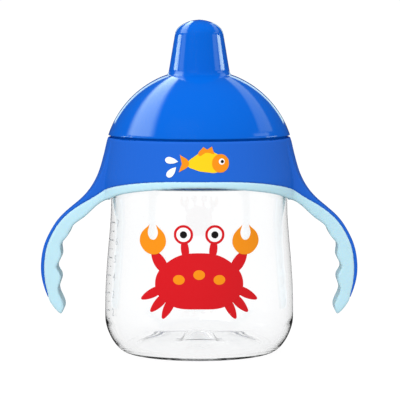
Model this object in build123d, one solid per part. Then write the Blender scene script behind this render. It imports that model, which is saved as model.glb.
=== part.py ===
from build123d import *

import os
from math import cos, pi, sin, sqrt

# A toddler's sippy cup: a clear cup, a screw ring with two handles, a hard spout with
# its seal and drip valve, and a press-fit cap. Millimetres. The origin is the centre of
# the standing plane, +Z is up, the handles lie along +X and -X, and -Y is the front.
# Every half-section below is drawn as (radius, height).

# Cup
neck_radius = 33.0  # outside of the threaded neck
cup_wall = 1.6
shoulder_step = 3.25  # the body below the neck stands out by this
belly_bulge = 2.6  # and the belly stands out by this again
foot_inset = 8.0  # the standing ring's edge inside the belly
shoulder_height = 71.0  # standing plane to the foot of the neck
neck_height = 11.5
corner_height = 13.2  # rounded bottom corner
corner_bow = 0.64  # how far out the corner's middle lies, as a share of its width
belly_flat = 5.0  # upright stretch above the corner
waist_length = 10.7  # upright stretch below the shoulder
shoulder_round = 1.6
belly_fall = 0.62  # share of the bulge that is left halfway up the side
floor_thickness = 1.9
foot_width = 4.5  # flat ring that the cup stands on
foot_lift = 0.4  # the floor's rise just inside the standing ring
foot_chamfer = 1.5
punt_radius = 8.0
punt_foot_z = 1.2
punt_height = 5.6

# Screw thread, right-handed
thread_lead = 4.5
thread_depth = 1.6
thread_root = 2.0
thread_crest = 0.9
thread_sink = 0.4  # the ridge's root inside the wall that carries it
thread_skew = 0.12  # extra half-width of the root at that depth
neck_thread_turns = 400 / 360
neck_thread_start = 3.7  # above the foot of the neck
ring_thread_turns = 300 / 360
ring_thread_lag = 60 / 360  # of a turn after the neck thread's start

# Clearances
flank_gap = 0.25  # between the two threads, along the axis
thread_gap = 0.4  # crest to wall, in radius
fit_gap = 0.4  # between turned faces that slide past each other
seat_gap = 0.05  # between flat faces that rest on each other
seal_gap = 0.02  # the seal's edges clear the spout's skirt
snap_gap = 0.3  # cap's lip round the spout's bead

# Spout, seal and valve
seal_thickness = 1.2
seal_inset = 0.2  # the seal's edge inside the flange's
flange_thickness = 1.6
spout_wall = 1.6
plug_depth = 3.5  # locating skirt inside the neck
collar_height = 4.0  # upright wall that the cap snaps round
collar_offset = 0.9  # the collar's wall outside the neck's bore
snap_bead = 0.4
bead_height = 1.3  # above the lip that clamps the flange
bead_half = (0.8, 0.3)  # half of the bead's foot and of its crest
spout_dome_rise = 14.5
dome_slope = 0.25  # lean of the spout's dome at its foot, and fall at its top
tower_sink = 1.0  # the dome's top reaches inside the tower's foot
tower_root = 3.5  # the tower starts this far below the dome's top
tower_height = 27.8
tower_round = 2.2
tower_base = (9.6, 8.0)  # half-width and half-depth of the oval tower
tower_top = (6.9, 4.9)
mouth_hole = 2.4
mouth_pitch = 3.4
port_radius = 7.0  # inside of the spout's valve port
port_wall = 1.5
port_rise = 7.0  # flange to the ports' lower ends
vent_offset = 19.0
vent_port_radius = 3.2
vent_hole = 1.0
valve_gap = 0.1
valve_wall = 1.2
valve_flange = 1.6
valve_plug_height = 5.5
vent_plug_height = 3.5
strap_width = 7.0
slit_width = 0.3

# Ring
ring_wall = 2.65  # outside of the thread bore at the ring's top
lip_thickness = 1.35  # inward lip that clamps the spout
nest_height = 1.5  # raised edge that the cap's rim nests in
edge_thickness = 1.05
skirt_flare = 2.25  # the ring's foot stands out by this
skirt_height = 16.5  # parting plane to the start of the arch
skirt_clearance = 1.5  # between the skirt and the cup's body
skirt_wall = 3.0  # the skirt's bore stands this far outside the bore above it
skirt_taper = 0.03  # lean of the soft bead below the skirt
handle_root = 3.9  # the handles start this far inside the skirt
handle_reach = 40.0
handle_depth = 20.0

# Cap
cap_wall = 1.7
cap_step = 0.8  # open groove between the ring's edge and the dome
dome_rise = 27.05
nub_base_radius = 12.4
nub_top_radius = 9.9
nub_height = 20.1  # above the crown of the dome
nub_shoulder = 5.6  # height of the nub's rounded end
nub_foot_rise = 1.4  # height of the blend at the nub's foot
nub_foot_flare = 1.7  # and its reach on the dome
nub_crown = (0.69, 0.29)  # the rounded end's middle: share of its radius, and of its height left
dome_inset = 0.25  # the dome's foot inside the ring's edge
lip_height = 1.6  # inner lip that snaps on the spout
lip_width = 1.2
lip_lead = 0.6  # chamfer on that lip

# Sizes that follow
bore_radius = neck_radius + thread_depth + thread_gap
waist_radius = neck_radius + shoulder_step
belly_radius = waist_radius + belly_bulge
foot_radius = belly_radius - foot_inset
rim_z = shoulder_height + neck_height
seal_z = rim_z + seat_gap
flange_z = seal_z + seal_thickness
lip_z = flange_z + flange_thickness + seat_gap
seat_z = lip_z + lip_thickness
parting_z = seat_z + nest_height
ring_radius = bore_radius + ring_wall
skirt_radius = ring_radius + skirt_flare
skirt_z = parting_z - skirt_height
skirt_bore = waist_radius + skirt_clearance
flange_radius = bore_radius - fit_gap
collar_radius = neck_radius - cup_wall + collar_offset
collar_z = lip_z + collar_height
lip_radius = collar_radius + fit_gap
plug_radius = neck_radius - cup_wall - fit_gap
nest_radius = ring_radius - edge_thickness
cap_z = seat_z + seat_gap
cap_rim_radius = nest_radius - fit_gap
dome_z = parting_z + cap_step
dome_foot_radius = ring_radius - dome_inset
dome_radius = (dome_foot_radius**2 + dome_rise**2) / (2 * dome_rise)
dome_centre = dome_z + dome_rise - dome_radius
crown_z = dome_z + dome_rise
nub_z = crown_z + nub_height
snap_radius = collar_radius + snap_bead
port_z = flange_z + port_rise
tower_z = collar_z + spout_dome_rise
spout_top = tower_z + tower_height


def turned(*curves):
    """Spins a closed half-section, drawn as radius and height, about the axis."""
    outline = ShapeList(edge for curve in curves for edge in curve.edges())
    return revolve(Plane.XZ * make_face(outline), Axis.Z)


def tube(inner, outer, low, high):
    """An upright ring between two radii and two heights."""
    return turned(Polyline((inner, low), (outer, low), (outer, high), (inner, high), close=True))


on_base = (Align.CENTER, Align.CENTER, Align.MIN)


def upright_disc(radius, low, high):
    return Pos(0, 0, low) * Cylinder(radius, high - low, align=on_base)


def thread_ridge(root, crest, start_z, start_turn, turns):
    """A helical ridge whose root is sunk a little into the wall that carries it."""
    sunk = root - thread_sink if crest > root else root + thread_sink
    half_root = thread_root / 2 + thread_skew
    half_crest = thread_crest / 2
    section = Polyline(
        (sunk, -half_root), (crest, -half_crest), (crest, half_crest), (sunk, half_root), close=True
    )
    path = Helix(thread_lead, thread_lead * turns, sunk)
    ridge = sweep(Plane.XZ * make_face(section.edges()), path=path, is_frenet=True)
    return Pos(0, 0, start_z) * Rot(Z=360 * start_turn) * ridge


def dome_at(radius, offset=0.0):
    """Height of the cap's sphere at a radius, on a skin offset from the outside."""
    return dome_centre + sqrt((dome_radius - offset) ** 2 - radius**2)


# The cup's half-section: up the outside, over the rim, down the inside, and out along the floor.
def cup_body():
    belly_z = corner_height + belly_flat
    shoulder_z = shoulder_height - shoulder_round
    waist_z = shoulder_z - waist_length
    bow = (foot_radius + corner_bow * foot_inset, (1 - corner_bow) * corner_height)
    rim_round = cup_wall / 2
    inner_neck = neck_radius - cup_wall
    inner_shoulder_z = shoulder_height - rim_round

    def wall(offset, floor):
        """The side of the cup from its floor to its neck, on a skin offset from the outside."""
        corner = Spline(
            (foot_radius + offset / 2, floor),
            (bow[0] + corner_bow * offset, bow[1] + corner_bow * floor),
            (belly_radius + offset, corner_height + floor / 2),
            tangents=[(1, 0), (0, 1)],
        )
        side = Spline(
            (belly_radius + offset, belly_z),
            (waist_radius + belly_fall * belly_bulge + offset, (belly_z + waist_z) / 2),
            (waist_radius + offset, waist_z),
            tangents=[(0, 1), (0, 1)],
        )
        shoulder = Spline(
            (waist_radius + offset, shoulder_z + offset),
            (neck_radius + offset, shoulder_height + offset / 2),
            tangents=[(0, 1), (-1, 0.3)],
        )
        return corner + side + shoulder + Line(corner @ 1, side @ 0) + Line(side @ 1, shoulder @ 0)

    rim = ThreePointArc(
        (neck_radius, rim_z - rim_round),
        (neck_radius - rim_round, rim_z),
        (inner_neck, rim_z - rim_round),
    )
    foot_inner = foot_radius - foot_width
    inner_foot_z = punt_foot_z + floor_thickness
    under = Polyline(
        (foot_radius, 0), (foot_inner, 0), (foot_inner - foot_chamfer, foot_lift), (punt_radius, punt_foot_z)
    )
    punt = Spline((punt_radius, punt_foot_z), (0, punt_height), tangents=[(-1, 0.6), (-1, 0)])
    punt_top = Spline(
        (0, punt_height + floor_thickness), (punt_radius, inner_foot_z), tangents=[(1, 0), (1, -0.6)]
    )
    shell = turned(
        wall(0, 0),
        Line((neck_radius, shoulder_height), rim @ 0),
        rim,
        Line(rim @ 1, (inner_neck, inner_shoulder_z)),
        wall(-cup_wall, floor_thickness),
        Line((punt_radius, inner_foot_z), (foot_radius - cup_wall / 2, floor_thickness)),
        punt_top,
        Line((0, punt_height), (0, punt_height + floor_thickness)),
        punt,
        under,
    )
    thread_z = shoulder_height + neck_thread_start
    return shell + thread_ridge(neck_radius, neck_radius + thread_depth, thread_z, 0, neck_thread_turns)


def lid_seal():
    return tube(plug_radius + seal_gap, flange_radius - seal_inset, seal_z, flange_z)


def spout():
    """Flange, locating skirt, collar and dome in one shell, with an oval drinking tower."""
    top_z = lip_z - seat_gap
    bead_z = seat_z + bead_height
    skirt_foot_z = flange_z - plug_depth
    dome_foot = (collar_radius, collar_z)
    dome_top = (tower_base[1] - tower_sink, tower_z)
    skin_foot = (collar_radius - spout_wall, collar_z - seat_gap)
    skin_top = (dome_top[0], tower_z - spout_wall)
    rising, falling = (-dome_slope, 1), (-1, dome_slope)
    shell = turned(
        Polyline(
            dome_foot,
            (collar_radius, bead_z + bead_half[0]),
            (snap_radius, bead_z + bead_half[1]),
            (snap_radius, bead_z - bead_half[1]),
            (collar_radius, bead_z - bead_half[0]),
            (collar_radius, top_z),
            (flange_radius, top_z),
            (flange_radius, flange_z),
            (plug_radius, flange_z),
            (plug_radius, skirt_foot_z),
            (plug_radius - spout_wall, skirt_foot_z),
            (plug_radius - spout_wall, flange_z),
            skin_foot,
        ),
        Spline(skin_foot, skin_top, tangents=[rising, falling]),
        Line(skin_top, dome_top),
        Spline(dome_foot, dome_top, tangents=[rising, falling]),
    )
    under_dome = turned(
        Spline(dome_foot, dome_top, tangents=[rising, falling]),
        Polyline(dome_top, (0, tower_z), (0, port_z), (collar_radius, port_z), dome_foot),
    )
    port = tube(port_radius, port_radius + port_wall, port_z, tower_z)
    vent = Pos(0, vent_offset, 0) * tube(vent_port_radius, vent_port_radius + port_wall, port_z, tower_z)
    port_bore = upright_disc(port_radius, port_z, tower_z - spout_wall)
    body = shell + (port + vent & under_dome) + tower(0) - port_bore - tower(spout_wall)
    for x in (-mouth_pitch, 0, mouth_pitch):
        body -= Pos(x, 0, 0) * upright_disc(mouth_hole / 2, spout_top - tower_root, spout_top + tower_root)
    return body - Pos(0, vent_offset, 0) * upright_disc(vent_hole / 2, port_z, tower_z)


def tower(inset):
    """The oval tower, or with an inset the channel inside it: a taper with a rounded end."""
    shoulder_z = spout_top - tower_round - inset
    sections = [Pos(0, 0, tower_z - tower_root) * Ellipse(tower_base[0] - inset, tower_base[1] - inset)]
    for angle in (0, pi / 8, pi / 4, 3 * pi / 8, pi / 2):
        shrink = inset + tower_round * (1 - cos(angle))
        section = Ellipse(tower_top[0] - shrink, tower_top[1] - shrink)
        sections.append(Pos(0, 0, shoulder_z + tower_round * sin(angle)) * section)
    return loft(sections, ruled=True)


def spout_valve():
    """Two silicone cups on one strap, pressed into the spout's two ports from below."""
    strap_z = port_z - valve_flange

    def stopper(port, height):
        """One cup, closed at its top, with a flange that stops against its port's lower end."""
        plug = port - valve_gap
        top_z = port_z + height
        sleeve = tube(plug - valve_wall, plug, port_z, top_z)
        flange = tube(plug - valve_wall, port + port_wall, strap_z, port_z)
        return sleeve + flange + upright_disc(plug, top_z - valve_wall, top_z)

    plug = port_radius - valve_gap
    reach = vent_offset - vent_port_radius - plug
    strap = Pos(0, plug + reach / 2, strap_z) * Box(strap_width, reach, valve_flange, align=on_base)
    slit = Box(plug, slit_width, 2 * valve_wall + 1) + Box(slit_width, plug, 2 * valve_wall + 1)
    drinking = stopper(port_radius, valve_plug_height) - Pos(0, 0, port_z + valve_plug_height) * slit
    return drinking + Pos(0, vent_offset, 0) * stopper(vent_port_radius, vent_plug_height) + strap


# Front-view curves of the ring and its handles, as (distance out from the axis, height).
# The handles hang from the skirt, so their points are measured from its radius and foot.
def hung(*points):
    return [(skirt_radius + x, skirt_z + z) for x, z in points]


handle_outside = hung(
    (-2.0, 15.0), (-1.2, 11.5), (-0.1, 7.2), (1.4, 2.3), (3.8, -2.7), (7.5, -7.6), (13.2, -12.6),
    (18.3, -17.5), (21.5, -22.4), (23.8, -27.4), (25.2, -34.0), (25.2, -40.0), (24.1, -45.0),
    (21.1, -51.8), (18.9, -54.6), (16.8, -56.3), (14.4, -57.2),
)
handle_inside = hung(
    (19.5, -57.4), (17.0, -56.1), (15.8, -53.6), (16.9, -49.5), (18.1, -45.4), (16.9, -40.8),
    (18.6, -37.2), (16.7, -31.9), (17.0, -28.0), (13.8, -23.3), (12.2, -20.0), (7.7, -16.3),
    (2.3, -11.3), (-2.1, -8.4),
)
soft_edge = hung(
    (-2.4, -4.1), (2.3, -7.2), (7.2, -10.1), (12.1, -13.4), (16.9, -17.9), (20.2, -22.9),
    (22.4, -28.0), (23.5, -34.0), (23.6, -39.8), (22.9, -45.0), (21.9, -49.2), (21.5, -53.0),
)
# Across the ring, as (share of the skirt's radius, height from its foot).
skirt_arch = [(0, 0.7), (0.56, -0.2), (0.8, -2.0)]
bead_arch = [(0, -1.6), (0.56, -3.4), (0.8, -5.6), (0.945, -8.4), (1.1, -12.5)]
handle_plan = [(-handle_root, 12.5), (4.0, 9.8), (14.0, 7.4), (26.5, 6.2)]  # out from the skirt, half-width
far = 120.0  # beyond everything


def whole(half):
    """A curve given for the right half, mirrored into one smooth curve."""
    return Spline(*[(-x, z) for x, z in reversed(half[1:])], *half)


def above(half):
    """Everything above a front-view curve."""
    curve = whole(half)
    left, right = curve @ 0, curve @ 1
    frame = Polyline(right, (far, right.Y), (far, far), (-far, far), (-far, left.Y), left)
    return extrude(Plane.XZ * make_face(curve.edges() + frame.edges()), far, both=True)


def handle():
    """One whole handle, hard spine and soft grip together, on the right side."""
    outer, inner = Spline(*handle_outside), Spline(*handle_inside)
    low, high = inner @ 0, inner @ 1
    root, reach, top = skirt_radius - handle_root, skirt_radius + handle_reach, parting_z
    frame = Polyline(high, (root, high.Y), (root, top), (reach, top), (reach, low.Y), low)
    slab = extrude(Plane.XZ * make_face(inner.edges() + frame.edges()), handle_depth, both=True)
    first, last = outer @ 0, outer @ 1
    round_side = turned(outer, Polyline(last, (0, last.Y), (0, first.Y), first))
    half = [(skirt_radius + x, y) for x, y in handle_plan]
    upper = Spline(*half)
    lower = Spline(*[(x, -y) for x, y in half])
    plan = make_face(
        upper.edges()
        + lower.edges()
        + Line(upper @ 0, lower @ 0).edges()
        + Line(upper @ 1, lower @ 1).edges()
    )
    return slab & round_side & extrude(plan, far)


def ring_and_grips():
    """The hard ring and the soft moulding, cut from one shape along the soft edge."""
    low = bead_arch[-1][1] + skirt_z
    bell = skirt_radius + skirt_taper * (skirt_z - low)
    edge_round = edge_thickness / 2
    edge_z = parting_z - edge_round
    core = skirt_bore - skirt_wall  # inside the ring's wall, which the hollow cuts away
    core_z = lip_z - skirt_wall
    band = turned(
        Polyline(
            (core, core_z),
            (core, skirt_z + 1),
            (skirt_bore, skirt_z - 1),
            (skirt_bore, low - 2),
            (bell, low - 2),
            (skirt_radius, skirt_z),
            (ring_radius, edge_z),
        ),
        ThreePointArc((ring_radius, edge_z), (ring_radius - edge_round, parting_z), (nest_radius, edge_z)),
        Polyline((nest_radius, edge_z), (nest_radius, seat_z), (lip_radius, seat_z)),
        Polyline((lip_radius, seat_z), (lip_radius, core_z), (core, core_z)),
    )
    band &= above([(skirt_radius * x, skirt_z + z) for x, z in bead_arch])
    right = handle()
    shape = band + right + mirror(right, Plane.YZ)
    hollow = turned(
        Polyline(
            (0, lip_z),
            (bore_radius, lip_z),
            (bore_radius, skirt_z + 0.3),
            (skirt_bore, skirt_z - 2),
            (skirt_bore, -skirt_height),
            (0, -skirt_height),
            close=True,
        )
    )
    shape -= hollow
    neck_thread_z = shoulder_height + neck_thread_start + ring_thread_lag * thread_lead
    shape += thread_ridge(
        bore_radius,
        bore_radius - thread_depth,
        neck_thread_z - thread_root - flank_gap,
        ring_thread_lag,
        ring_thread_turns,
    )
    hard_side = above([(skirt_radius * x, skirt_z + z) for x, z in skirt_arch] + soft_edge)
    return shape & hard_side, shape - hard_side


def cap():
    """The dome, its spout cover, and the rim that nests in the ring and snaps on the spout."""
    foot = (nub_base_radius, dome_at(nub_base_radius) + nub_foot_rise)
    flare_radius = nub_base_radius + nub_foot_flare
    flare = (flare_radius, dome_at(flare_radius))
    shoulder = (nub_top_radius, nub_z - nub_shoulder)
    slope = ((shoulder[0] - foot[0]) / (shoulder[1] - foot[1]), 1)
    skin_foot = (foot[0] - cap_wall, foot[1])
    skin_flare = (flare_radius - cap_wall / 3, dome_at(flare_radius - cap_wall / 3, cap_wall))
    skin_shoulder = (shoulder[0] - cap_wall, shoulder[1])
    skin_top = nub_z - cap_wall
    inner_radius = dome_radius - cap_wall
    skin_rim_z = dome_z + lip_lead
    skin_rim = (sqrt(inner_radius**2 - (skin_rim_z - dome_centre) ** 2), skin_rim_z)
    lip = snap_radius + snap_gap

    def sphere_arc(start, end, radius):
        middle = Vector((start[0] + end[0]) / 2, (start[1] + end[1]) / 2 - dome_centre)
        middle = middle.normalized() * radius
        return ThreePointArc(start, (middle.X, middle.Y + dome_centre), end)

    def rounded_end(side, crown):
        middle = (nub_crown[0] * side[0], crown - nub_crown[1] * (crown - side[1]))
        return Spline(side, middle, (0, crown), tangents=[slope, (-1, 0)])

    return turned(
        Polyline(
            skin_rim,
            (lip + lip_width, cap_z + lip_height),
            (lip, cap_z + lip_height - lip_lead),
            (lip, cap_z),
            (cap_rim_radius, cap_z),
            (cap_rim_radius, dome_z),
            (dome_foot_radius, dome_z),
        ),
        sphere_arc((dome_foot_radius, dome_z), flare, dome_radius),
        Spline(flare, foot, tangents=[(dome_centre - flare[1], flare[0]), slope]),
        Line(foot, shoulder),
        rounded_end(shoulder, nub_z),
        Line((0, nub_z), (0, skin_top)),
        rounded_end(skin_shoulder, skin_top),
        Line(skin_shoulder, skin_foot),
        Spline(
            skin_foot, skin_flare, tangents=[(-slope[0], -1), (skin_flare[1] - dome_centre, -skin_flare[0])]
        ),
        sphere_arc(skin_flare, skin_rim, inner_radius),
    )


handle_ring, soft_grips = ring_and_grips()
nodes = {
    "cup_body": cup_body(),
    "lid_seal": lid_seal(),
    "spout": spout(),
    "spout_valve": spout_valve(),
    "handle_ring": handle_ring,
    "soft_grips": soft_grips,
    "cap": cap(),
}
os.makedirs("parts", exist_ok=True)
for name, shape in nodes.items():
    export_step(shape, f"parts/{name}.step")
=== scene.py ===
from math import asin, cos, pi, radians, sin, sqrt

import bpy
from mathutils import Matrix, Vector


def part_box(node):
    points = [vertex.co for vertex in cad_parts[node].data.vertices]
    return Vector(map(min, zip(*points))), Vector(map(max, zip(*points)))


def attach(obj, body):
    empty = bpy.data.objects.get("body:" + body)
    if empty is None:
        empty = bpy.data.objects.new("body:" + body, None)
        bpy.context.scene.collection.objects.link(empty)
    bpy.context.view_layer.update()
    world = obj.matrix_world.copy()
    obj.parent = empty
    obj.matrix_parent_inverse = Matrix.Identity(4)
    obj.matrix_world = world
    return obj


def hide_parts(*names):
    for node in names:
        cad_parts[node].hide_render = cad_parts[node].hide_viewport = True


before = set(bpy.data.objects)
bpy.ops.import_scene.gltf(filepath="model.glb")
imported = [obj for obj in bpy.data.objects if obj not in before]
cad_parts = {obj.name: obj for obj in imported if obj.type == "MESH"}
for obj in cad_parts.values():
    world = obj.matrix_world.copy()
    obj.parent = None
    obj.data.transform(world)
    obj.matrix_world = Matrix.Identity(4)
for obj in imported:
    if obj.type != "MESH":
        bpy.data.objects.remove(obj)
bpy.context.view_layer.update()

MM = 0.001

# --- Cup -------------------------------------------------------------------------------
# The cup is injection moulded in one piece of clear plastic: a barrel with a soft bottom
# corner, a shallow cone and a punt in its floor, and a threaded neck inside the ring.
cup_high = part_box("cup_body")[1]
belly = cup_high.x / MM
rim_z = cup_high.z / MM
wall = 1.6
floor_thickness = 1.9
bulge = 2.6
shoulder_step = 3.25
shoulder_round = 1.6
neck_height = 11.5
foot_inset = 8.0
corner_height = 13.2
belly_flat = 5
waist_drop = 12.3
waist = belly - bulge
neck = waist - shoulder_step
neck_foot = rim_z - neck_height
foot = belly - foot_inset
belly_z = corner_height + belly_flat
waist_z = neck_foot - waist_drop


def deselect():
    if bpy.context.object and bpy.context.object.mode != "OBJECT":
        bpy.ops.object.mode_set(mode="OBJECT")
    bpy.ops.object.select_all(action="DESELECT")


def select_only(piece):
    deselect()
    piece.select_set(True)
    bpy.context.view_layer.objects.active = piece


def apply_modifier(piece, kind, **settings):
    select_only(piece)
    modifier = piece.modifiers.new(kind.title(), kind)
    for key, value in settings.items():
        setattr(modifier, key, value)
    bpy.ops.object.modifier_apply(modifier=modifier.name)


def turned(name, outline, steps=128):
    """A half-section of (radius, height) points in millimetres, spun about the axis."""
    deselect()
    bpy.ops.mesh.primitive_plane_add(size=MM)
    piece = bpy.context.object
    piece.name = piece.data.name = name
    bpy.ops.object.mode_set(mode="EDIT")
    bpy.ops.mesh.merge(type="CENTER")
    here = (0.0, 0.0)
    for index, point in enumerate(outline):
        move = ((point[0] - here[0]) * MM, 0, (point[1] - here[1]) * MM)
        if index:
            bpy.ops.mesh.extrude_region_move(TRANSFORM_OT_translate={"value": move})
        else:
            bpy.ops.transform.translate(value=move)
        here = point
    bpy.ops.mesh.select_all(action="SELECT")
    bpy.ops.mesh.spin(steps=steps, angle=2 * pi, center=(0, 0, 0), axis=(0, 0, 1))
    bpy.ops.mesh.select_all(action="SELECT")
    bpy.ops.mesh.remove_doubles(threshold=0.01 * MM)
    bpy.ops.mesh.normals_make_consistent(inside=False)
    bpy.ops.object.mode_set(mode="OBJECT")
    apply_modifier(piece, "SUBSURF", levels=1, render_levels=1)
    bpy.ops.object.shade_smooth()
    return piece


def rounded(start, end, count, bow=1.0):
    """A quarter round from start, level, to end, upright. A bow over 1 flattens it."""
    width, height = end[0] - start[0], end[1] - start[1]
    turns = [pi / 2 * i / (count - 1) for i in range(count)]
    shares = [(sin(turn) ** bow, 1 - abs(cos(turn)) ** bow) for turn in turns]
    return [(start[0] + width * out, start[1] + height * up) for out, up in shares]


def barrel(offset, floor):
    """The side of the cup from its floor to its neck, on a skin offset from the outside."""
    steps, fullness, corner_bow = 8, 0.69, 1.28
    heights = [belly_z + (waist_z - belly_z) * i / steps for i in range(steps + 1)]
    falls = [((1 + cos(pi * i / steps)) / 2) ** fullness for i in range(steps + 1)]
    side = [(waist + offset + bulge * fall, z) for fall, z in zip(falls, heights)]
    corner_end = (belly + offset, corner_height + floor / 2)
    corner = rounded((foot + offset / 2, floor), corner_end, 10, corner_bow)
    shoulder_z = neck_foot - shoulder_round + offset / 2
    shoulder = [(waist + offset, shoulder_z - 1), (waist + offset - 0.1, shoulder_z + 0.4)]
    shoulder += [
        (waist + offset - 1.1, shoulder_z + 1.2),
        (neck + offset + 0.3, neck_foot + offset / 2 - 0.1),
        (neck + offset, neck_foot + offset / 2 + 1.2),
    ]
    return corner + side + shoulder


under = [(0, 5.6), (2.2, 5.35), (4.6, 4.3), (6.6, 2.5), (8.0, 1.3), (9.6, 1.1)]
under += [(17, 0.78), (24.6, 0.42), (foot - 5.2, 0.1), (foot - 4.4, 0), (foot - 2, 0)]
lip = [(neck, rim_z - 1.2), (neck - 0.1, rim_z)]
lip += [(neck - wall + 0.1, rim_z), (neck - wall, rim_z - 1.2)]
floor_top = [(24.6, 2.32), (17, 2.68), (9.6, 3.0), (8.0, 3.2)]
floor_top += [(6.6, 4.4), (4.6, 6.2), (2.2, 7.25), (0, 7.5)]
inside = list(reversed(barrel(-wall, floor_thickness)))
cup = turned("clear_cup", under + barrel(0, 0) + lip + inside + floor_top)


def helical_ridge(name, root, crest, start, turns, lead):
    """A thread: a small trapezoid carried round the axis while it climbs."""
    deselect()
    bpy.ops.mesh.primitive_plane_add(size=1, rotation=(pi / 2, 0, 0))
    ridge = bpy.context.object
    ridge.name = name
    bpy.ops.object.transform_apply(rotation=True)
    half_root, half_crest = 1.12, 0.45
    for vertex in ridge.data.vertices:
        outward, upward = vertex.co.x > 0, vertex.co.z > 0
        half = half_crest if outward else half_root
        vertex.co = ((crest if outward else root) * MM, 0, (start + (half if upward else -half)) * MM)
    steps = round(turns * 72)
    bpy.ops.object.mode_set(mode="EDIT")
    bpy.ops.mesh.select_all(action="SELECT")
    for _ in range(steps):
        climb = (0, 0, lead * turns / steps * MM)
        bpy.ops.mesh.extrude_region_move(TRANSFORM_OT_translate={"value": climb})
        bpy.ops.transform.rotate(
            value=-2 * pi * turns / steps,
            orient_axis="Z",
            center_override=(0, 0, 0),
            orient_type="GLOBAL",
        )
    bpy.ops.mesh.select_all(action="SELECT")
    bpy.ops.mesh.normals_make_consistent(inside=False)
    bpy.ops.object.mode_set(mode="OBJECT")
    return ridge


thread_sink = 0.4
thread_depth = 1.6
thread_start = neck_foot + 3.7
thread_turns = 400 / 360
thread_lead = 4.5
neck_thread = helical_ridge(
    "neck_thread", neck - thread_sink, neck + thread_depth, thread_start, thread_turns, thread_lead
)
apply_modifier(cup, "BOOLEAN", object=neck_thread, operation="UNION", solver="EXACT")
bpy.data.objects.remove(neck_thread)
select_only(cup)
bpy.ops.object.shade_smooth_by_angle(angle=radians(35))


def new_material(name, colour, **sockets):
    """A Principled material with its plain values on its own sockets."""
    material = bpy.data.materials.new(name)
    material.use_nodes = True
    shader = material.node_tree.nodes["Principled BSDF"]
    shader.inputs["Base Color"].default_value = (*colour, 1)
    for key, value in sockets.items():
        shader.inputs[key.replace("_", " ")].default_value = value
    return material


def add_bump(material, scale, height, detail=2.0, rough_span=None):
    """Fine moulded unevenness on the surface, and a little variation in its polish."""
    nodes, links = material.node_tree.nodes, material.node_tree.links
    shader = nodes["Principled BSDF"]
    place = nodes.new("ShaderNodeTexCoord")
    noise = nodes.new("ShaderNodeTexNoise")
    noise.inputs["Scale"].default_value = scale
    noise.inputs["Detail"].default_value = detail
    bump = nodes.new("ShaderNodeBump")
    bump.inputs["Strength"].default_value = 1.0
    bump.inputs["Distance"].default_value = height * MM
    links.new(place.outputs["Object"], noise.inputs["Vector"])
    links.new(noise.outputs["Fac"], bump.inputs["Height"])
    links.new(bump.outputs["Normal"], shader.inputs["Normal"])
    if rough_span:
        spread = nodes.new("ShaderNodeMapRange")
        spread.inputs["To Min"].default_value = rough_span[0]
        spread.inputs["To Max"].default_value = rough_span[1]
        links.new(noise.outputs["Fac"], spread.inputs["Value"])
        links.new(spread.outputs["Result"], shader.inputs["Roughness"])
    return material


clear_plastic = new_material(
    "clear_plastic", (0.992, 0.995, 0.998), Transmission_Weight=1.0, Roughness=0.02, IOR=1.46
)
add_bump(clear_plastic, 45, 0.02, detail=0.0)


def finished(piece, material, body, slot=None, *nodes):
    """Gives a finished piece its material, its body and what it replaces. The slot is not used."""
    piece.data.materials.clear()
    piece.data.materials.append(material)
    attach(piece, body)
    if nodes:
        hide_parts(*nodes)
    return piece


finished(cup, clear_plastic, "cup", "clear_shell", "cup_body")

# --- Ring and handles ------------------------------------------------------------------
# The screw ring and the spines of both handles are one satin blue moulding. Its edges
# are softly rounded, as a mould leaves them, and its outside has a fine spark texture.


def moulded(name, node, grain, smoothing):
    """A copy of a node's shape with its edges rounded, as even small faces."""
    select_only(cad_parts[node])
    bpy.ops.object.duplicate()
    piece = bpy.context.object
    piece.name = piece.data.name = name
    for key in list(piece.keys()):
        del piece[key]
    piece.parent = None
    select_only(piece)
    bpy.ops.object.mode_set(mode="EDIT")
    bpy.ops.mesh.select_all(action="SELECT")
    bpy.ops.mesh.remove_doubles(threshold=0.002 * MM)
    bpy.ops.object.mode_set(mode="OBJECT")
    apply_modifier(piece, "REMESH", mode="VOXEL", voxel_size=grain * MM)
    apply_modifier(piece, "SMOOTH", factor=0.5, iterations=smoothing)
    bpy.ops.object.shade_smooth()
    return piece


ring = moulded("screw_ring", "handle_ring", 0.45, 4)
satin_blue = new_material("satin_blue", (0.002, 0.122, 0.65), Roughness=0.42, IOR=1.4)
add_bump(satin_blue, 2600, 0.012, rough_span=(0.36, 0.5))
finished(ring, satin_blue, "ring", "ring_blue", "handle_ring")

# --- Soft grips ------------------------------------------------------------------------
# One shot of light blue elastomer: the bead under the ring's skirt and the scalloped
# inside of both handles. It is moulded onto the ring and stands a little proud of it.
grips = moulded("soft_grips_skin", "soft_grips", 0.42, 9)
apply_modifier(grips, "DISPLACE", strength=0.15 * MM, mid_level=0.0)
soft_blue = new_material("soft_blue", (0.52, 0.79, 0.90), Roughness=0.5, IOR=1.45)
soft_shader = soft_blue.node_tree.nodes["Principled BSDF"]
soft_shader.inputs["Sheen Weight"].default_value = 0.1
soft_shader.inputs["Subsurface Weight"].default_value = 0.15
soft_shader.inputs["Subsurface Radius"].default_value = (0.002, 0.003, 0.004)
soft_shader.inputs["Subsurface Scale"].default_value = 1.0
add_bump(soft_blue, 1800, 0.015, rough_span=(0.42, 0.58))
finished(grips, soft_blue, "ring", "grip_soft", "soft_grips")

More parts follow.
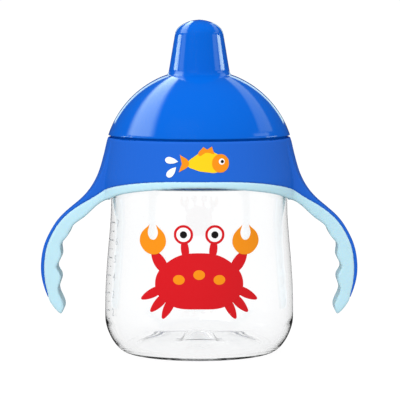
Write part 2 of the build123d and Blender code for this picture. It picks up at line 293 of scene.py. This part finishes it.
# --- Cap -------------------------------------------------------------------------------
# A dome of glossy blue plastic with a tall nub that covers the spout. Its foot steps in
# to nest inside the ring's raised edge, and an inner lip snaps on the spout's collar.
cap_low, cap_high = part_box("cap")
dome_foot = cap_high.x / MM
cap_foot = cap_low.z / MM
nub_top = cap_high.z / MM
nub_height = 20.1
dome_rise = 27.05
crown = nub_top - nub_height
step = crown - dome_rise
dome_radius = (dome_foot**2 + dome_rise**2) / (2 * dome_rise)
dome_centre = crown - dome_radius
cap_wall = 1.7
nub_shoulder = (9.9, nub_top - 5.6)
nub_root = (12.4, crown - 0.6)


def dome_height(radius, skin=0.0):
    return dome_centre + sqrt((dome_radius - skin) ** 2 - radius**2)


def dome_points(from_radius, to_radius, count, skin=0.0):
    """Points along the dome's circle, by even steps of angle."""
    ball = dome_radius - skin
    first, last = asin(from_radius / ball), asin(to_radius / ball)
    angles = [first + (last - first) * i / (count - 1) for i in range(count)]
    return [(ball * sin(angle), dome_centre + ball * cos(angle)) for angle in angles]


def nub_side(inset):
    """Four points up the nub's taper, on a skin inset from the outside."""
    rise = nub_shoulder[1] - nub_root[1]
    steps = [nub_root[1] + rise * share for share in (0.12, 0.4, 0.7, 0.93)]
    fall = (nub_root[0] - nub_shoulder[0]) / rise
    return [(nub_root[0] - inset - fall * (z - nub_root[1]), z) for z in steps]


nub_bow = 1.1
nub_end = list(reversed(rounded((0, nub_top), nub_shoulder, 7, nub_bow)))
nub_skin_shoulder = (nub_shoulder[0] - cap_wall, nub_shoulder[1])
nub_skin_end = rounded((0, nub_top - cap_wall), nub_skin_shoulder, 7, nub_bow)
cap_outline = (
    [(dome_foot - 1.35, cap_foot), (dome_foot - 1.25, cap_foot + 0.1)]
    + [(dome_foot - 1.2, step - 0.5), (dome_foot - 1.1, step - 0.05), (dome_foot - 0.15, step)]
    + dome_points(dome_foot, 14.4, 12)
    + [(13.3, dome_height(13.3) - 0.2), (12.6, dome_height(12.6) + 0.15)]
    + nub_side(0)
    + nub_end
)
cap_inline = (
    nub_skin_end
    + list(reversed(nub_side(cap_wall)))
    + [(11.2, dome_height(11.2, cap_wall) + 1.0), (12.0, dome_height(12.0, cap_wall) + 0.2)]
    + dome_points(13.6, dome_foot - 2.3, 10, cap_wall)
    + [(dome_foot - 3.4, cap_foot + 1.5), (dome_foot - 4.3, cap_foot + 0.9)]
    + [(dome_foot - 4.35, cap_foot + 0.15), (dome_foot - 4.2, cap_foot), (dome_foot - 1.35, cap_foot)]
)
cap = turned("domed_cap", cap_outline + cap_inline)
gloss_blue = new_material("gloss_blue", (0.001, 0.118, 0.62), Roughness=0.09, IOR=1.45)
add_bump(gloss_blue, 60, 0.02, detail=1.0)
finished(cap, gloss_blue, "cap", "cap_blue", "cap")

# --- Spout, valve and seal -------------------------------------------------------------
# The hard spout, its silicone drip valve and the seal on the rim lie under the cap and
# the ring.
white_plastic = new_material("white_plastic", (0.86, 0.89, 0.92), Roughness=0.25, IOR=1.49)
add_bump(white_plastic, 90, 0.02, detail=1.0)
spout = moulded("hard_spout", "spout", 0.5, 3)
apply_modifier(spout, "DISPLACE", strength=-0.08 * MM, mid_level=0.0)
finished(spout, white_plastic, "lid", "spout_white", "spout")
silicone = new_material("frosted_silicone", (0.83, 0.86, 0.88), Roughness=0.45, IOR=1.41)
silicone.node_tree.nodes["Principled BSDF"].inputs["Subsurface Weight"].default_value = 0.3
add_bump(silicone, 900, 0.01)
for node in ("spout_valve", "lid_seal"):
    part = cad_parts[node]
    part.data.materials.clear()
    part.data.materials.append(silicone)

# --- Front print -----------------------------------------------------------------------
# A plain crab in red, orange, white and black ink on the front of the cup. Each colour is
# one thin film, laid over the one before it, as pad printing does.
ink_film = 0.06
film_gap = 0.012
print_step = 1.6
in_front = 0.08


def flat_outline(points, sharp=()):
    """A filled closed curve through points of the front view, in millimetres, made a mesh."""
    deselect()
    bpy.ops.curve.primitive_bezier_circle_add(radius=1)
    piece = bpy.context.object
    piece.data.dimensions = "2D"
    piece.data.fill_mode = "BOTH"
    piece.data.resolution_u = 8
    corners = piece.data.splines[0].bezier_points
    if len(points) > len(corners):
        corners.add(len(points) - len(corners))
    for index, (corner, point) in enumerate(zip(corners, points)):
        kind = "VECTOR" if index in sharp else "AUTO"
        corner.handle_left_type = corner.handle_right_type = kind
        corner.co = (point[0] * MM, point[1] * MM, 0)
    bpy.ops.object.convert(target="MESH")
    return piece


def ellipse(x, z, half_x, half_z):
    """A filled ellipse on the front view."""
    angles = [2 * pi * i / 8 for i in range(8)]
    return flat_outline([(x + half_x * cos(angle), z + half_z * sin(angle)) for angle in angles])


def stroke(start, end, width, end_width=None):
    """A straight bar with round ends between two points of the front view."""
    along = Vector(end) - Vector(start)
    across = Vector((-along.y, along.x)).normalized()
    near, far = width / 2, (end_width or width) / 2
    tip = along.normalized()
    spots = [
        Vector(start) + across * near,
        Vector(start) - tip * near,
        Vector(start) - across * near,
        Vector(end) - across * far,
        Vector(end) + tip * far,
        Vector(end) + across * far,
    ]
    return flat_outline([tuple(spot) for spot in spots])


def printed(name, shapes, target, layer, material, body, azimuth=0.0):
    """Joins flat shapes, lays them on a turned surface from the front and makes them a film."""
    deselect()
    for shape in shapes:
        shape.select_set(True)
    bpy.context.view_layer.objects.active = shapes[0]
    if len(shapes) > 1:
        bpy.ops.object.join()
    piece = bpy.context.object
    piece.name = piece.data.name = name
    select_only(piece)
    piece.rotation_euler.x = pi / 2
    piece.location.y = -in_front
    bpy.ops.object.transform_apply(location=True, rotation=True)
    lows = [min(vertex.co[axis] for vertex in piece.data.vertices) for axis in (0, 2)]
    highs = [max(vertex.co[axis] for vertex in piece.data.vertices) for axis in (0, 2)]
    bpy.ops.object.mode_set(mode="EDIT")
    for low, high, normal in zip(lows, highs, ((1, 0, 0), (0, 0, 1))):
        count = int((high - low) / (print_step * MM))
        for index in range(1, count + 1):
            cut = low + index * print_step * MM
            bpy.ops.mesh.select_all(action="SELECT")
            bpy.ops.mesh.bisect(plane_co=tuple(cut * n for n in normal), plane_no=normal)
    bpy.ops.object.mode_set(mode="OBJECT")
    apply_modifier(
        piece, "SHRINKWRAP", target=target, wrap_method="PROJECT", use_project_y=True,
        use_positive_direction=True, use_negative_direction=False,
    )
    piece.location.y = -(film_gap + layer * ink_film) * MM
    bpy.ops.object.transform_apply(location=True)
    apply_modifier(piece, "SOLIDIFY", thickness=ink_film * MM, offset=1.0)
    if azimuth:
        piece.rotation_euler.z = azimuth
        bpy.ops.object.transform_apply(rotation=True)
    return finished(piece, material, body)


def ink(name, colour):
    film = new_material(name, colour, Roughness=0.38, IOR=1.35)
    return add_bump(film, 1500, 0.006, rough_span=(0.32, 0.46))


red_ink = ink("red_ink", (0.68, 0.002, 0.008))
orange_ink = ink("orange_ink", (0.9, 0.28, 0.0))
yellow_ink = ink("yellow_ink", (0.93, 0.62, 0.001))
white_ink = ink("white_ink", (0.95, 0.95, 0.95))
black_ink = ink("black_ink", (0.012, 0.01, 0.01))

sides = (-1, 1)
shell_points = [(-17.5, 31.5), (-13.5, 24.6), (0.0, 22.0), (13.5, 24.6)]
shell_points += [(17.5, 31.5), (12.5, 40.4), (0.0, 44.2), (-12.5, 40.4)]
crab_shell = flat_outline(shell_points)
leg_ends = [((10.5, 26.0), (14.2, 18.6)), ((13.0, 27.5), (18.8, 21.0)), ((15.0, 30.0), (22.4, 25.6))]
legs = [
    stroke((side * root[0], root[1]), (side * toe[0], toe[1]), 2.4, 1.5)
    for side in sides
    for root, toe in leg_ends
]
arms = [stroke((side * 13.5, 37.0), (side * 18.0, 44.0), 3.2, 2.6) for side in sides]
stalks = [stroke((side * 5.2, 42.0), (side * 6.0, 49.0), 1.8) for side in sides]
eye_x, eye_z = 6.2, 51.4
eye_rims = [ellipse(side * eye_x, eye_z, 3.8, 3.8) for side in sides]
printed("crab_limbs_print", legs + arms + stalks, cup, 0, red_ink, "cup")
printed("crab_red_print", [crab_shell] + eye_rims, cup, 1, red_ink, "cup")
claw_x, claw_z = 18.4, 48.6
claw_points = [(0.0, -5.4), (-4.4, -2.8), (-5.0, 1.8), (-1.3, 6.4), (-1.9, 2.4)]
claw_points += [(0.0, 0.4), (1.9, 2.4), (1.3, 6.4), (5.0, 1.8), (4.4, -2.8)]
claws = [
    flat_outline([(side * claw_x + x, claw_z + z) for x, z in claw_points], sharp=(3, 7))
    for side in sides
]
spots = [ellipse(x, z, 2.3, 1.9) for x, z in ((-8.0, 33.6), (0.0, 35.6), (8.0, 33.6))]
printed("crab_orange_print", claws + spots, cup, 2, orange_ink, "cup")
eye_whites = [ellipse(side * eye_x, eye_z, 2.8, 2.8) for side in sides]
printed("crab_white_print", eye_whites, cup, 2, white_ink, "cup")
pupils = [ellipse(side * eye_x, eye_z, 1.4, 1.4) for side in sides]
printed("crab_black_print", pupils, cup, 3, black_ink, "cup")

# A small fish and two drops of water in the same inks on the front of the ring.
fish_z = 79.8
fish_eye_z = fish_z + 0.7


def fish_part(points, x, sharp=()):
    """A filled curve whose points are given from the fish's middle."""
    return flat_outline([(x + across, fish_z + up) for across, up in points], sharp)


body_points = [(-6.0, -0.6), (-3.4, 2.6), (1.2, 4.6), (5.8, 3.6)]
body_points += [(8.6, 0.2), (6.4, -3.2), (1.2, -3.4), (-3.2, -2.4)]
printed("fish_yellow_print", [fish_part(body_points, 1.4)], ring, 0, yellow_ink, "ring")
tail_points = [(-6.4, 0.0), (-10.0, 3.4), (-9.2, -0.2), (-10.4, -3.6)]
fin_points = [(-1.6, 3.2), (0.2, 6.4), (1.8, 5.4), (3.6, 6.6), (4.6, 3.6), (1.4, 4.2)]
fish_head = ellipse(8.4, fish_z, 3.3, 3.6)
fish_tail = fish_part(tail_points, 2.4, sharp=(1, 2, 3))
fish_fin = fish_part(fin_points, 1.4, sharp=(1, 2, 3, 4))
printed("fish_orange_print", [fish_head, fish_tail, fish_fin], ring, 1, orange_ink, "ring")


def water_drop(height, turn):
    """A drop of water behind the fish's tail, turned anticlockwise by an angle."""
    points = [(2.6, 0.0), (0.4, 1.1), (-2.0, 1.0), (-2.6, 0.0), (-2.0, -1.0), (0.4, -1.1)]
    turned_points = [(cos(turn) * x - sin(turn) * z, sin(turn) * x + cos(turn) * z) for x, z in points]
    return flat_outline([(x - 10.8, z + height) for x, z in turned_points], sharp=(0,))


drops = [water_drop(80.8, radians(-8)), water_drop(76.4, radians(48))]
printed("fish_white_print", drops + [ellipse(8.9, fish_eye_z, 1.15, 1.2)], ring, 2, white_ink, "ring")
printed("fish_black_print", [ellipse(9.1, fish_eye_z, 0.62, 0.66)], ring, 3, black_ink, "ring")

# --- Volume scale ----------------------------------------------------------------------
# Fine raised digits and marks on the left of the cup, one fluid ounce apart, moulded
# with the wall and only just seen against it. Their flat grey film is painted shade, standing
# in for the faint shading that the clear relief makes as it bends the light.
scale_painted_shade = new_material("scale_relief_painted_shade", (0.60, 0.62, 0.64), Roughness=0.5, IOR=1.46)
add_bump(scale_painted_shade, 1200, 0.01)
ounce_heights = {2: 17.7, 3: 24.9, 4: 32.1, 5: 39.3, 6: 46.5, 7: 53.7}
digits = []
for number, height in ounce_heights.items():
    deselect()
    bpy.ops.object.text_add()
    digit = bpy.context.object
    digit.data.body = str(number)
    digit.data.size = 4.4 * MM
    digit.data.align_x = digit.data.align_y = "CENTER"
    digit.data.resolution_u = 3
    bpy.ops.object.convert(target="MESH")
    digit.location.y = height * MM
    bpy.ops.object.transform_apply(location=True)
    digits.append(digit)
printed("scale_digits", digits, cup, 0, scale_painted_shade, "cup", azimuth=radians(-64))
marks = [stroke((-1.5, height), (1.5, height), 0.32) for height in ounce_heights.values()]
half_ounces = [height - 3.6 for height in ounce_heights.values()]
marks += [stroke((-0.7, height), (0.9, height), 0.25) for height in half_ounces]
printed("scale_marks", marks, cup, 0, scale_painted_shade, "cup", azimuth=radians(-76))

# --- Studio ----------------------------------------------------------------------------
# A pale floor in a white surround, brighter overhead, that dims for mirror rays. Sheets
# of light that only the cap's gloss sees give the cap its streaks.
deselect()
bpy.ops.mesh.primitive_plane_add(size=8, location=(0, 0, -0.0002))
floor = bpy.context.object
floor.name = "pale_floor"
floor_glow = {"Emission_Color": (1, 1, 1, 1), "Emission_Strength": 0.96}
floor.data.materials.append(
    new_material("pale_floor", (0.08, 0.08, 0.08), Roughness=1.0, Specular_IOR_Level=0.0, **floor_glow)
)
floor.visible_glossy = floor.visible_diffuse = False

world = bpy.data.worlds.new("white_surround")
bpy.context.scene.world = world
world.use_nodes = True
world.cycles.sampling_method = "NONE"
tree = world.node_tree
background = tree.nodes["Background"]
background.inputs["Color"].default_value = (1, 1, 1, 1)
rays = tree.nodes.new("ShaderNodeLightPath")


def switch(factor, low, high):
    """A node that gives low where factor is 0 and high where it is 1."""
    mix = tree.nodes.new("ShaderNodeMix")
    tree.links.new(factor, mix.inputs["Factor"])
    for name, value in (("A", low), ("B", high)):
        if isinstance(value, float):
            mix.inputs[name].default_value = value
        else:
            tree.links.new(value, mix.inputs[name])
    return mix.outputs["Result"]


direction = tree.nodes.new("ShaderNodeTexCoord")
heights = tree.nodes.new("ShaderNodeSeparateXYZ")
tree.links.new(direction.outputs["Generated"], heights.inputs["Vector"])
overhead = tree.nodes.new("ShaderNodeMapRange")
overhead.inputs["From Min"].default_value = -1.0
overhead.inputs["To Min"].default_value = 0.45
overhead.inputs["To Max"].default_value = 1.2
tree.links.new(heights.outputs["Z"], overhead.inputs["Value"])
open_level = switch(rays.outputs["Is Diffuse Ray"], 1.03, overhead.outputs["Result"])
mirror_level = switch(rays.outputs["Transmission Depth"], 0.05, 0.95)
level = switch(rays.outputs["Is Glossy Ray"], open_level, mirror_level)
tree.links.new(level, background.inputs["Strength"])


def only_in_gloss(thing):
    thing.visible_camera = thing.visible_diffuse = thing.visible_shadow = False
    thing.visible_transmission = thing.visible_volume_scatter = False


cap_alone = bpy.data.collections.new("cap_alone")
cap_alone.objects.link(cap)


def mirror_light(name, facing, strength, softness=0.4):
    """A bent sheet of light, one metre off, that mirrors in faces turned as facing(u, v) says.

    Its strength falls away towards both long edges, over a share of its half-width.
    """
    deselect()
    bpy.ops.mesh.primitive_grid_add(x_subdivisions=4, y_subdivisions=24, size=2)
    sheet = bpy.context.object
    sheet.name = name
    to_camera = Vector((0, -1, 0.05)).normalized()
    for vertex in sheet.data.vertices:
        normal = facing(vertex.co.x, (vertex.co.y + 1) / 2)
        vertex.co = 2 * normal.dot(to_camera) * normal - to_camera + Vector((0, 0, 0.09))
    glow = new_material(name, (0, 0, 0), Emission_Color=(0.8, 1.0, 0.75, 1))
    nodes, links = glow.node_tree.nodes, glow.node_tree.links
    place = nodes.new("ShaderNodeTexCoord")
    across = nodes.new("ShaderNodeSeparateXYZ")
    middle = nodes.new("ShaderNodeMath")
    middle.operation = "PINGPONG"
    middle.inputs[1].default_value = 0.5
    fade = nodes.new("ShaderNodeMapRange")
    fade.interpolation_type = "SMOOTHSTEP"
    fade.inputs["From Max"].default_value = softness / 2
    fade.inputs["To Max"].default_value = strength
    links.new(place.outputs["UV"], across.inputs["Vector"])
    links.new(across.outputs["X"], middle.inputs[0])
    links.new(middle.outputs["Value"], fade.inputs["Value"])
    links.new(fade.outputs["Result"], nodes["Principled BSDF"].inputs["Emission Strength"])
    sheet.data.materials.append(glow)
    only_in_gloss(sheet)
    sheet.light_linking.receiver_collection = cap_alone


def flank(azimuth, half_width, low_tilt, high_tilt):
    """Faces along one meridian of the cap, by azimuth and tilt in degrees."""
    def facing(u, v):
        turn = radians(azimuth + u * half_width)
        tilt = radians(low_tilt + (high_tilt - low_tilt) * v)
        return Vector((sin(turn) * cos(tilt), -cos(turn) * cos(tilt), sin(tilt)))
    return facing


def edge(side, depth, half_width, low, high):
    """Faces just inside the outline on one side, by their turn from the camera in degrees."""
    def facing(u, v):
        turn = radians(depth + u * half_width)
        rise = radians(low + (high - low) * v)
        return Vector((side * sin(turn) * cos(rise), -cos(turn), sin(turn) * sin(rise)))
    return facing


mirror_light("key_flank", flank(-40.5, 13, 17, 74), 4.6, 0.5)
mirror_light("fill_flank", flank(48, 8, 21, 66), 1.1)
mirror_light("fill_patch", flank(43, 8, 17, 20.5), 1.8)
for side in sides:
    mirror_light(f"dome_edge_{side}", edge(side, 80, 3, 23, 71), 2.0)
    mirror_light(f"nub_flank_{side}", flank(side * 51, 7, 6, 14.5), 9.0)
    mirror_light(f"nub_glow_{side}", flank(side * 37, 6.5, 6, 14.5), 1.5)


def softbox(name, azimuth, height, distance, size, power):
    """A soft lamp for the diffuse light alone, aimed at the cup."""
    deselect()
    place = Vector((sin(azimuth) * distance, -cos(azimuth) * distance, height))
    bpy.ops.object.light_add(type="AREA", location=place)
    lamp = bpy.context.object
    lamp.name = name
    lamp.data.shape = "RECTANGLE"
    lamp.data.size, lamp.data.size_y = size
    lamp.data.energy = power
    lamp.rotation_euler = (Vector((0, 0, 0.08)) - place).to_track_quat("-Z", "Y").to_euler()
    lamp.visible_glossy = False


softbox("key_fill", radians(-25), 0.8, 0.9, (0.8, 0.8), 6)

# --- Camera ----------------------------------------------------------------------------
camera_place = (0.0, -0.85, 0.1347)
camera_aim = (0.00035, 0.0, 0.0621)
deselect()
bpy.ops.object.camera_add(location=camera_place)
camera = bpy.context.object
camera.rotation_euler = (Vector(camera_aim) - Vector(camera_place)).to_track_quat("-Z", "Y").to_euler()
camera.data.sensor_width = 36
camera.data.lens = 36 * 2.435 * 850 / 400
camera.data.clip_end = 20
bpy.context.scene.camera = camera
bpy.context.scene.view_settings.view_transform = "Standard"
# Light crosses the clear cup's walls many times before it leaves.
bounces = bpy.context.scene.cycles
bounces.max_bounces = bounces.transmission_bounces = 32
bounces.glossy_bounces = 16
